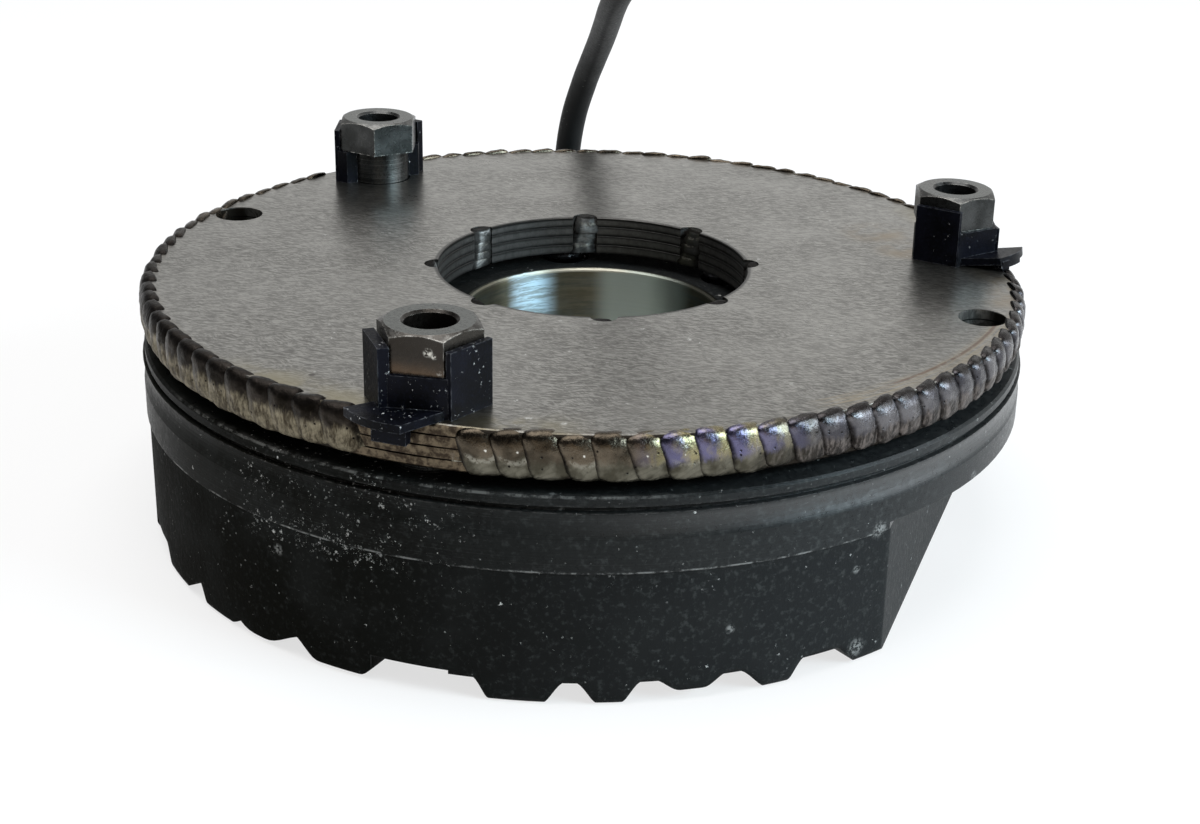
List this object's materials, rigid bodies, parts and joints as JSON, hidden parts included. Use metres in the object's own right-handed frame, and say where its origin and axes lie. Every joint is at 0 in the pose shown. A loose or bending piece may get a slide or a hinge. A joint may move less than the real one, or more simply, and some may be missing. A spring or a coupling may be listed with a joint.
{
  "type": "electromagnetic spring-applied brake",
  "caption": "Spring-applied electromagnetic brake: round ribbed stator with coil, welded armature plate on hollow sleeve bolts, transport clips and a short lead.",
  "frame": {"origin": "on the shaft axis at the back, where the rib crests and the bore's back edge lie", "axes": "+Z along the shaft axis from the ribbed back towards the armature plate, +X through one sleeve bolt"},
  "size_m": [0.2133, 0.1686, 0.0933],
  "materials": {
    "housing_black": "black paint on cast and turned iron, dusty",
    "plated_steel": "zinc plated and passivated",
    "former_plastic": "moulded",
    "copper_wire": "enamelled copper wire",
    "cast_resin": "cast",
    "spring_steel": "drawn wire",
    "bolt_oxide": "black oxide with bright edges",
    "clip_plastic": "moulded, scuffed",
    "sheet_steel": "ground, heat tinted near the welds",
    "weld_steel": "oxidised weld beads",
    "grommet_rubber": "moulded",
    "lead_jacket": "extruded",
    "core_jacket": "extruded",
    "ferrule_metal": "tinned, crimped"
  },
  "bodies": {
    "stator": {"magnet_housing": "housing_black", "bore_tube": "plated_steel", "coil_former": "former_plastic", "coil_winding": "copper_wire", "potting_ring": "cast_resin", "spring_1": "spring_steel", "spring_2": "spring_steel", "spring_3": "spring_steel", "spring_4": "spring_steel", "spring_5": "spring_steel", "spring_6": "spring_steel", "sleeve_bolt_1": "bolt_oxide", "sleeve_bolt_2": "bolt_oxide", "sleeve_bolt_3": "bolt_oxide", "clip_1": "clip_plastic", "clip_2": "clip_plastic", "clip_3": "clip_plastic", "lead_grommet": "grommet_rubber", "lead": "lead_jacket", "core_1": "core_jacket", "core_2": "core_jacket", "ferrule_1": "ferrule_metal", "ferrule_2": "ferrule_metal"},
    "armature": {"armature_sheet_1": "sheet_steel", "armature_sheet_2": "sheet_steel", "armature_sheet_3": "sheet_steel", "armature_sheet_4": "sheet_steel", "rim_weld": "weld_steel", "bore_welds": "weld_steel"}
  },
  "joints": [
    {"name": "armature_slide", "type": "slide", "parent": "stator", "child": "armature", "axis": [0, 0, 1], "range_m": [-0.0018, 0], "stiffness_N_per_m": 10000, "springref_m": 0.005, "deforming": ["spring_1", "spring_2", "spring_3", "spring_4", "spring_5", "spring_6"]}
  ]
}
